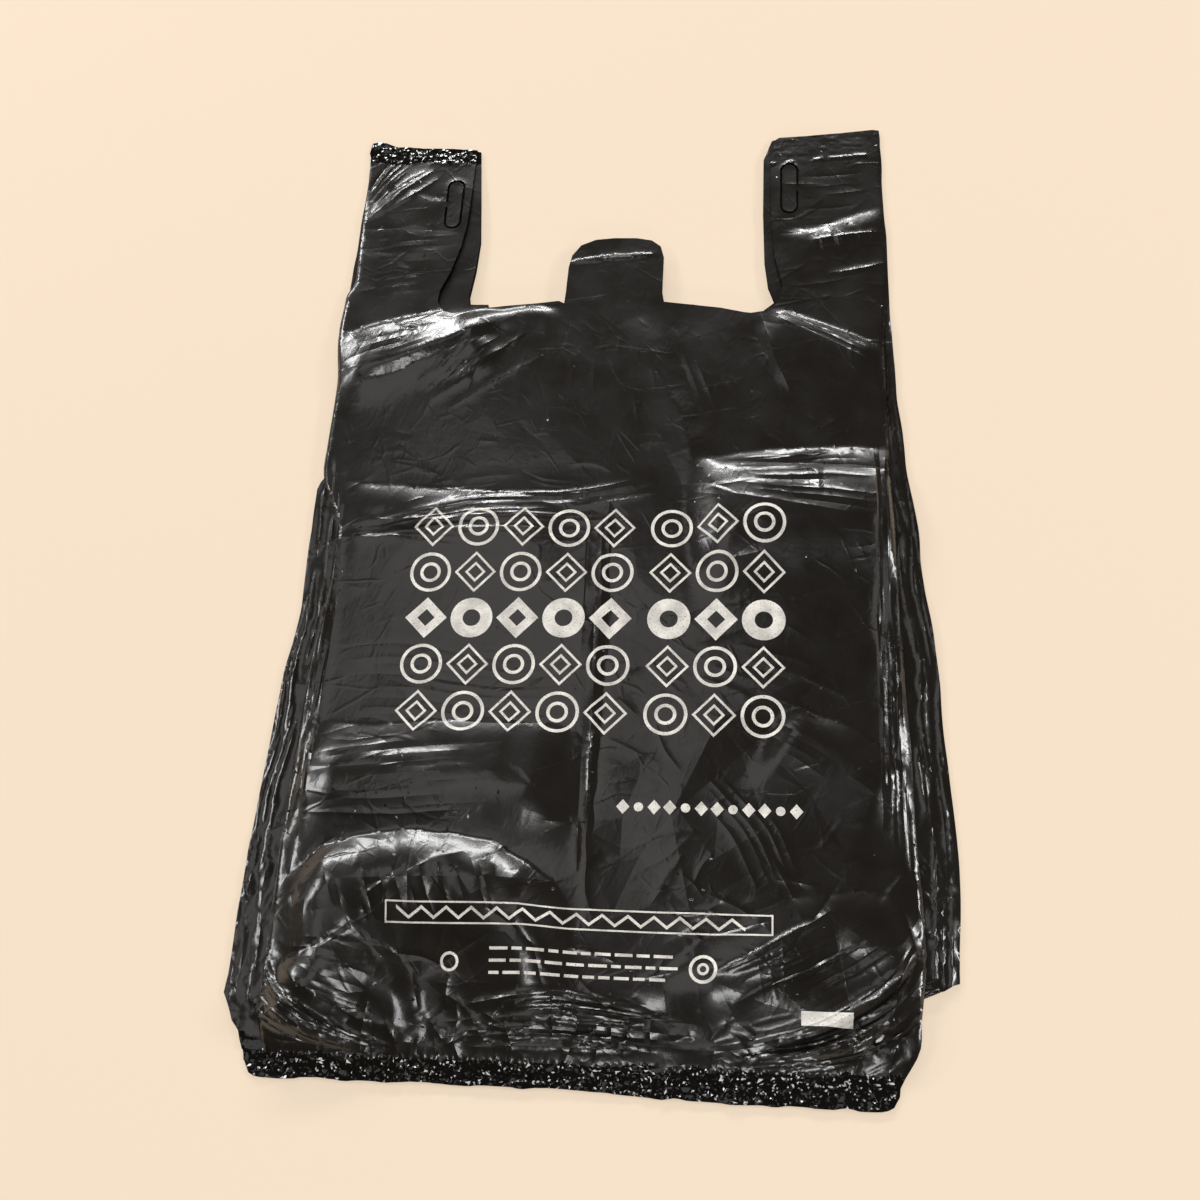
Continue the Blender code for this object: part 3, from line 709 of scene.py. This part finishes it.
# The print on the front: rows of plain shapes, a row of small ones, a long frame and dashed lines
printing = {
    "cell": 22.5,
    "left": -92.5,
    "gapAfter": 5,
    "gap": 5.5,
    "cells": 8,
    "rows": 5,
    "rowTop": 6.5,
    "pitch": 24.0,
    "filledRow": 2,
    "half": (10.3, 10.7),
    "stroke": 1.15,
    "hole": 0.42,
    "inner": 0.5,
    "smallRow": {"left": 19.0, "step": 7.1, "count": 12, "y": -134.0, "half": 3.0, "dot": 0.72,
                 "tall": 1.15},
    "frame": {"box": (-84, 87, -190.5, -181), "stroke": 0.75, "zigzag": 5.7, "high": 2.2, "ends": (5, 3)},
    "dashes": {"left": -36.0, "right": 46.0, "rows": (-201, -206, -211), "high": 1.3,
               "long": (3.5, 8.5), "space": 1.8, "least": 6},
    "rings": [(57, -205.5, 6.2, 4.8), (57, -205.5, 2.6, 1.4), (-54, -206, 4.2, 3.0)],
    "patch": (99, 121, -227, -221),
}


def roundShape(cx, cy, radius, points):
    turns = [2 * math.pi * i / points for i in range(points)]
    return [(cx + radius * math.cos(t), cy + radius * math.sin(t)) for t in turns]


def diamondShape(cx, cy, halfX, halfY):
    return [(cx + halfX, cy), (cx, cy + halfY), (cx - halfX, cy), (cx, cy - halfY)]


def boxShape(x0, x1, y0, y1):
    return [(x0, y0), (x1, y0), (x1, y1), (x0, y1)]


def printedShapes():
    shapes = []
    halfX, halfY = printing["half"]
    inset = printing["stroke"] / (halfX * halfY / math.hypot(halfX, halfY))
    inner = printing["inner"]
    for row in range(printing["rows"]):
        cy = printing["rowTop"] - row * printing["pitch"]
        for cell in range(printing["cells"]):
            cx = printing["left"] + (cell + 0.5) * printing["cell"]
            cx += printing["gap"] * (cell >= printing["gapAfter"])
            if row == printing["filledRow"]:
                scales = (1, printing["hole"])
            else:
                scales = (1, 1 - inset, inner, inner - inset)
            for scale in scales:
                if (row + cell) % 2:
                    shapes.append(roundShape(cx, cy, halfX * scale, 30))
                else:
                    shapes.append(diamondShape(cx, cy, halfX * scale, halfY * scale))
    small = printing["smallRow"]
    for i in range(small["count"]):
        cx = small["left"] + i * small["step"]
        if i % 3 == 1:
            shapes.append(roundShape(cx, small["y"], small["half"] * small["dot"], 12))
        else:
            shapes.append(diamondShape(cx, small["y"], small["half"], small["half"] * small["tall"]))
    strip = printing["frame"]
    x0, x1, y0, y1 = strip["box"]
    stroke = strip["stroke"]
    shapes.append(boxShape(x0, x1, y0, y1))
    shapes.append(boxShape(x0 + stroke, x1 - stroke, y0 + stroke, y1 - stroke))
    first, last = strip["ends"]
    count = int((x1 - x0 - first - last) / strip["zigzag"])
    low = [
        (x0 + first + i * strip["zigzag"], (y0 + y1) / 2 + strip["high"] * (-1) ** i - stroke)
        for i in range(count)
    ]
    shapes.append(low + [(px, py + 2 * stroke) for px, py in low[::-1]])
    random = np.random.default_rng(bag["seed"] + 3)
    lines = printing["dashes"]
    for y in lines["rows"]:
        x = lines["left"]
        while x < lines["right"] - lines["least"]:
            long = random.uniform(*lines["long"])
            shapes.append(boxShape(x, min(x + long, lines["right"]), y, y + lines["high"]))
            x += long + lines["space"]
    for cx, cy, outer, hole in printing["rings"]:
        shapes.append(roundShape(cx, cy, outer, 24))
        shapes.append(roundShape(cx, cy, hole, 20))
    shapes.append(boxShape(*printing["patch"]))
    return shapes


print("stage: film")
front = makeSheet(
    "frontPanel",
    panelOutline("front"),
    [slitOutline(*place) for place in slit["places"]],
    frontPanel["step"],
    frontPanel["fine"],
    bentFront,
    [line for line, _, *falls in creaseLines + smallLines if max(falls) < frontPanel["foldFall"]]
    + nets[0][1]
    + nets[1][1],
    printedShapes(),
)

# The back panel, flat on what it lies on, with slow waves and its own crimp at the seals
backPanel = {
    "step": 3.0,
    "fine": [(1.1, [(-170, -128, -262, -225), (-128, 175, -262, -245)])],
    "lift": 0.35,
    "waves": [(18, 26, 0.3, 21), (6, 9, 0.15, 22)],
    "deepest": -0.3,
}


def backHeight(x, y):
    z = loft["underside"] + backPanel["lift"] + waves(backPanel["waves"], x, y)
    return z + weldedOrSlitShade(x, y) * np.maximum(crimp(x, y, 25), backPanel["deepest"])


back = makeSheet("backPanel", panelOutline("back"), [], backPanel["step"], backPanel["fine"], backHeight)

# The gussets: their long folds, how they follow the front panel, and their crushed film
gusset = {
    "step": 4.0,
    "band": (1.4, {-1: (-175, -122, -262, 262), 1: (122, 178, -262, 262)}),
    "underSlits": (0.8, [(-99, -82, 188, 229), (85, 102, 195, 236)]),
    "mouthFrom": 132.0,
    "folds": {"inside": (2.0, 6.0, 11.0, 17.0), "from": (-240, -220), "to": (225, 236), "long": (20, 90),
              "high": (0.4, 1.3), "fall": (1.0, 1.8), "drift": 1.5, "sway": (1.6, 40), "next": (0.5, 1.1)},
    "follow": {1: 0.28, 2: 0.6},
    "fall": (14.0, 0.2),
    "outside": 3.0,
    "swells": [(9, 22, 0.35, 31), (4, 8, 0.2, 33)],
    "crushed": [(6, 8, 0.9, 35), (2.6, 3.4, 0.4, 37)],
    "crushedLow": (0.25, -120.0, 70.0),
    "foldShare": 0.2,
    "topFade": (20.0, 40.0),
    "least": (0.5, 0.3),
}


def gussetOutline(side, edgeName):
    line = sideLine(edgeName, side, bag["hemSeam"] + 1, sideEdge["leftHigh"])
    inner = [(side * bag["pleat"], bag["hemSeam"] + 1), (side * bag["pleat"], gusset["mouthFrom"])]
    handle = mouth["backLeft"][::-1] if side < 0 else mouth["backRight"]
    handle = [p for p in handle if abs(p[0]) > bag["pleat"]]
    top = handleTops["left"][::-1] if side < 0 else handleTops["right"]
    return inner + handle + top + line[::-1]


# Long broken folds beside a side edge: a line, its height and its fall on each side
def edgeFolds(side, edgeName, seed):
    random = np.random.default_rng(seed)
    folds = gusset["folds"]
    last, end = folds["to"]
    sway, grain = folds["sway"]
    found = []
    for inside in folds["inside"]:
        y = random.uniform(*folds["from"])
        while y < last:
            long = random.uniform(*folds["long"])
            ys = np.linspace(y, min(y + long, end), 14)
            drift = inside + random.uniform(-folds["drift"], folds["drift"])
            drift = drift + sway * noise(ys, ys * 0, grain, 1, seed)
            xs = side * (bag["halfWidth"] + along(edges[edgeName], heightShare(ys)) - drift)
            found.append((pairs(xs, ys), random.uniform(*folds["high"]), *folds["fall"]))
            y += long * random.uniform(*folds["next"])
    return found


# Height of a gusset's layer: level 2 lies under the front panel, level 1 on the back panel
def gussetHeight(level, folds):
    def height(x, y):
        under = np.clip(x, *frontSides(heightShare(y)))
        away = np.abs(x - under)
        fall, lift = gusset["fall"]
        z = frontHeight(under, y) * gusset["follow"][level] * np.exp(-away / fall) + lift
        out = np.clip(away / gusset["outside"], 0, 1)
        pleats = np.zeros(x.shape)
        for line, high, fallLeft, fallRight in folds:
            addCrease(pleats, x, y, line, high, fallLeft, fallRight)
        coarse, fine = gusset["crushed"]
        crushed = np.abs(waves([coarse], x, y, level)) + waves([fine], x, y, level)
        share, below, fade = gusset["crushedLow"]
        share = share + (1 - share) * ease((below - y) / fade)
        bump = waves(gusset["swells"], x, y, level) + crushed * share * out
        pleats = pleats * (gusset["foldShare"] + (1 - gusset["foldShare"]) * out)
        quiet, fade = gusset["topFade"]
        z = z + (bump + pleats) * ease((bag["top"] - quiet - y) / fade)
        least, perLevel = gusset["least"]
        return np.maximum(z, least + perLevel * level)

    return height


gussets = []
for side, label in ((-1, "Left"), (1, "Right")):
    for level, edgeName in ((2, "front" + label), (1, "back" + label)):
        name = "gusset" + label + ("Front" if level == 2 else "Back")
        folds = edgeFolds(side, edgeName, 60 + level + 10 * side)
        spacing, bands = gusset["band"]
        fine = [(spacing, [bands[side]]), gusset["underSlits"]]
        lines = [line for line, *_ in folds]
        outline = gussetOutline(side, edgeName)
        height = gussetHeight(level, folds)
        gussets.append(makeSheet(name, outline, [], gusset["step"], fine, height, lines))


# sRGB hex to linear colour
def linear(code):
    channels = [int(code[i : i + 2], 16) / 255 for i in (1, 3, 5)]
    return [c / 12.92 if c <= 0.04045 else ((c + 0.055) / 1.055) ** 2.4 for c in channels] + [1.0]


# Adds a node with its settings, and links or sets its inputs
def addNode(tree, kind, inputs=None, **settings):
    node = tree.nodes.new("ShaderNode" + kind)
    for key, value in settings.items():
        setattr(node, key, value)
    for key, value in (inputs or {}).items():
        if isinstance(value, bpy.types.Node):
            tree.links.new(value.outputs[0], node.inputs[key])
        elif isinstance(value, bpy.types.NodeSocket):
            tree.links.new(value, node.inputs[key])
        else:
            node.inputs[key].default_value = value
    return node


def newMaterial(name):
    material = bpy.data.materials.new(name)
    material.use_nodes = True
    tree = material.node_tree
    return material, tree, tree.nodes["Principled BSDF"]


# The film as blown, the film where it is melted (also painted shade under the hanging slits), and the ink;
# grains, cells and heights in mm
film = {
    "colour": "#0e0b08",
    "roughness": (0.24, 0.32),
    "cloud": 22.0,
    "satin": 0.42,
    "ior": 1.5,
    "coat": (0.4, 0.16),
    "bend": {"grain": 24.0, "reach": 3.0},
    "ripples": [
        {"turn": 0, "cell": (8.0, 8.0), "high": 0.08},
        {"turn": 70, "cell": (5.0, 1.7), "high": 0.03},
        {"turn": -15, "cell": (7.0, 2.1), "high": 0.03},
        {"turn": 30, "cell": (0.9, 0.9), "high": 0.008},
    ],
    "folds": [
        {"turn": 12, "cell": (44.0, 17.0), "width": 0.06, "high": 0.08, "gate": (0.54, 0.62)},
        {"turn": -52, "cell": (30.0, 13.0), "width": 0.07, "high": 0.06, "gate": (0.54, 0.62)},
        {"turn": 66, "cell": (17.0, 8.0), "width": 0.12, "high": 0.03, "gate": (0.52, 0.62)},
    ],
}
# Blacker finish of the melted seals, also used as painted shade under the hanging slits
sealAndSlitShadeFilm = {
    "colour": "#060605",
    "roughness": 0.3,
    "satin": 0.0,
    "coat": (0.9, 0.1),
    "bend": {"grain": 6.0, "reach": 1.5},
    "ripples": [{"turn": 0, "cell": (1.2, 1.2), "high": 0.02}],
    "folds": [],
}
ink = {"colour": "#e6e2da", "roughness": 0.46, "pinhole": 0.7, "cloud": 9.0, "thinnest": 0.62}


# The film's relief below the mesh: soft ripples, and straight creases between the facets of crushed film
def filmRelief(tree, uv, finish):
    inputs = {"Vector": uv, "Scale": 1.0 / (finish["bend"]["grain"] * mm), "Detail": 2.0}
    cloud = addNode(tree, "TexNoise", inputs)
    reach = finish["bend"]["reach"] * mm
    inputs = {0: cloud.outputs["Color"], 1: (reach, reach, 0), 2: uv}
    bent = addNode(tree, "VectorMath", inputs, operation="MULTIPLY_ADD")
    total = 0.0
    for kind in ("ripples", "folds"):
        for i, layer in enumerate(finish[kind]):
            wide, tall = layer["cell"]
            inputs = {
                "Vector": bent,
                "Location": (0.37 * i, 0.19 * i, 0),
                "Rotation": (0, 0, math.radians(layer["turn"])),
                "Scale": (wide * mm, tall * mm, 1.0),
            }
            place = addNode(tree, "Mapping", inputs, vector_type="TEXTURE")
            if kind == "ripples":
                inputs = {"Vector": place, "Scale": 1.0, "Detail": 1.5}
                shape = addNode(tree, "TexNoise", inputs)
                amount = layer["high"]
            else:
                inputs = {"Vector": place, "Scale": 1.0}
                cells = addNode(tree, "TexVoronoi", inputs, feature="DISTANCE_TO_EDGE")
                inputs = {"Value": cells, "From Max": layer["width"], "To Min": 1.0, "To Max": 0.0}
                shape = addNode(tree, "MapRange", inputs, interpolation_type="SMOOTHSTEP")
                inputs = {"Vector": place, "Scale": 0.9, "Detail": 1.0}
                where = addNode(tree, "TexNoise", inputs)
                low, high = layer["gate"]
                inputs = {"Value": where, "From Min": low, "From Max": high, "To Max": layer["high"]}
                amount = addNode(tree, "MapRange", inputs, interpolation_type="SMOOTHSTEP")
            inputs = {0: shape, 1: amount, 2: total}
            total = addNode(tree, "Math", inputs, operation="MULTIPLY_ADD")
    return addNode(tree, "Bump", {"Height": total, "Strength": 1.0, "Distance": mm})


# What both states of the film share: a base, a coat over it, and the relief under both
def setFilm(tree, shader, uv, finish):
    shader.inputs["Base Color"].default_value = linear(finish["colour"])
    shader.inputs["Specular IOR Level"].default_value = finish["satin"]
    weight, roughness = finish["coat"]
    shader.inputs["Coat Weight"].default_value = weight
    shader.inputs["Coat Roughness"].default_value = roughness
    relief = filmRelief(tree, uv, finish)
    tree.links.new(relief.outputs["Normal"], shader.inputs["Normal"])
    tree.links.new(relief.outputs["Normal"], shader.inputs["Coat Normal"])


# Blown high-density polyethylene film, deep black: a satin sheen with a thin sharper gloss over it
def polyethyleneFilm():
    material, tree, shader = newMaterial("polyethyleneFilm")
    uv = addNode(tree, "UVMap", uv_map="film")
    setFilm(tree, shader, uv, film)
    shader.inputs["IOR"].default_value = film["ior"]
    inputs = {"Vector": uv, "Scale": 1.0 / (film["cloud"] * mm), "Detail": 5.0}
    cloud = addNode(tree, "TexNoise", inputs)
    low, high = film["roughness"]
    inputs = {"Value": cloud, "From Min": 0.35, "From Max": 0.65, "To Min": low, "To Max": high}
    rough = addNode(tree, "MapRange", inputs)
    tree.links.new(rough.outputs[0], shader.inputs["Roughness"])
    return material


# The same film melted together at a seal: blacker, glassy and crimped, so it sparkles in small specks.
# Under the hanging slits this blacker finish is painted shade on the layers seen through the cut.
def sealFilmAndSlitShade():
    material, tree, shader = newMaterial("sealFilmAndSlitShade")
    uv = addNode(tree, "UVMap", uv_map="film")
    setFilm(tree, shader, uv, sealAndSlitShadeFilm)
    shader.inputs["Roughness"].default_value = sealAndSlitShadeFilm["roughness"]
    return material


# Flexographic white ink: thinner and more matt than the film's gloss, with pinholes where it missed
def flexoInk():
    material, tree, shader = newMaterial("flexoInk")
    shader.inputs["Roughness"].default_value = ink["roughness"]
    uv = addNode(tree, "UVMap", uv_map="film")
    inputs = {"Vector": uv, "Scale": 1.0 / (ink["pinhole"] * mm), "Detail": 3.0}
    speck = addNode(tree, "TexNoise", inputs)
    cover = addNode(tree, "MapRange", {"Value": speck, "From Min": 0.30, "From Max": 0.40})
    inputs = {"Vector": uv, "Scale": 1.0 / (ink["cloud"] * mm), "Detail": 3.0}
    thin = addNode(tree, "TexNoise", inputs)
    inputs = {"Value": thin, "From Min": 0.35, "From Max": 0.65, "To Min": ink["thinnest"], "To Max": 1.0}
    weak = addNode(tree, "MapRange", inputs)
    amount = addNode(tree, "Math", {0: cover, 1: weak}, operation="MULTIPLY")
    inputs = {"Factor": amount, 6: linear(film["colour"]), 7: linear(ink["colour"])}
    tone = addNode(tree, "Mix", inputs, data_type="RGBA")
    tree.links.new(tone.outputs[2], shader.inputs["Base Color"])
    tree.links.new(filmRelief(tree, uv, film).outputs["Normal"], shader.inputs["Normal"])
    return material


print("stage: materials")
filmMaterial = polyethyleneFilm()
sealAndSlitShadeMaterial = sealFilmAndSlitShade()
for piece in [front, back, *gussets]:
    piece.data.materials.append(filmMaterial)
    piece.data.materials.append(sealAndSlitShadeMaterial)
front.data.materials.append(flexoInk())

print("stage: light and camera")
view = {"place": (78.48, -316.14, 668.34), "elevation": 65.96, "azimuth": 14.81, "roll": -12.97,
        "lens": 45.0}
camData = bpy.data.cameras.new("camera")
camData.lens = view["lens"]
camData.sensor_width = 36.0
camData.clip_start = 0.01
camera = addObject("camera", camData)
azimuth = math.radians(view["azimuth"])
elevation = math.radians(view["elevation"])
roll = math.radians(view["roll"])
level = math.cos(elevation)
backward = Vector((math.sin(azimuth) * level, -math.cos(azimuth) * level, math.sin(elevation)))
rightward = (-backward).cross(Vector((0, 0, 1))).normalized()
upward = rightward.cross(-backward)
turnedRight = math.cos(roll) * rightward + math.sin(roll) * upward
turnedUp = -math.sin(roll) * rightward + math.cos(roll) * upward
turn = Matrix((turnedRight, turnedUp, backward)).transposed().to_4x4()
camera.matrix_world = Matrix.Translation(Vector(view["place"]) * mm + shift) @ turn
bpy.context.scene.camera = camera

sweep = {"colour": "#f6e2ca", "own": 0.61, "lit": 0.35, "roughness": 0.9, "half": 3.0, "below": 0.0002}


# Peach paper sweep: matt, shown to the camera and to reflections at an even tone that keeps the shadow
def paperSweep():
    material, tree, shader = newMaterial("paperSweep")
    peach = linear(sweep["colour"])
    shader.inputs["Base Color"].default_value = [c * sweep["lit"] for c in peach[:3]] + [1.0]
    shader.inputs["Roughness"].default_value = sweep["roughness"]
    shader.inputs["Specular IOR Level"].default_value = 0.0
    shader.inputs["Emission Color"].default_value = peach
    path = addNode(tree, "LightPath")
    seen = path.outputs["Is Camera Ray"]
    for ray in ("Is Glossy Ray", "Is Transmission Ray"):
        seen = addNode(tree, "Math", {0: seen, 1: path.outputs[ray]}, operation="ADD")
    glow = addNode(tree, "Math", {0: seen, 1: sweep["own"]}, operation="MULTIPLY")
    tree.links.new(glow.outputs[0], shader.inputs["Emission Strength"])
    return material


floorMesh = bpy.data.meshes.new("floor")
half = sweep["half"]
corners = [(-half, -half, 0), (half, -half, 0), (half, half, 0), (-half, half, 0)]
floorMesh.from_pydata(corners, [], [(0, 1, 2, 3)])
floorMesh.materials.append(paperSweep())
floor = addObject("floor", floorMesh)
floor.location.z = -sweep["below"]

studio = {"colour": "#ffefd7", "strength": 0.11}
world = bpy.data.worlds.new("studio")
bpy.context.scene.world = world
world.use_nodes = True
background = world.node_tree.nodes["Background"]
background.inputs["Color"].default_value = linear(studio["colour"])
background.inputs["Strength"].default_value = studio["strength"]

# Strip and panel lamps: place and size in metres, power in watts, each turned to the bag
lamps = {
    "top": ((-0.2, 2.45, 1.0), (2.0, 0.18), 50.0),
    "corner": ((-1.7, 1.75, 0.8), (1.0, 0.22), 22.0),
    "soft": ((-0.55, 0.3, 1.9), (1.4, 0.9), 4.4),
    "over": ((0.15, -0.75, 1.9), (0.5, 0.3), 7.0),
    "left": ((-1.7, 0.3, 1.1), (0.7, 0.35), 12.0),
    "right": ((1.8, 0.2, 0.9), (0.7, 0.3), 19.0),
    "front": ((0.3, -1.6, 0.6), (0.7, 0.25), 9.0),
}
for name, (place, size, power) in lamps.items():
    light = bpy.data.lights.new(name, "AREA")
    light.shape = "RECTANGLE"
    light.size, light.size_y = size
    light.energy = power
    thing = addObject(name, light)
    thing.location = place
    thing.rotation_euler = (-Vector(place)).to_track_quat("-Z", "Y").to_euler()

bpy.context.scene.view_settings.view_transform = "Standard"
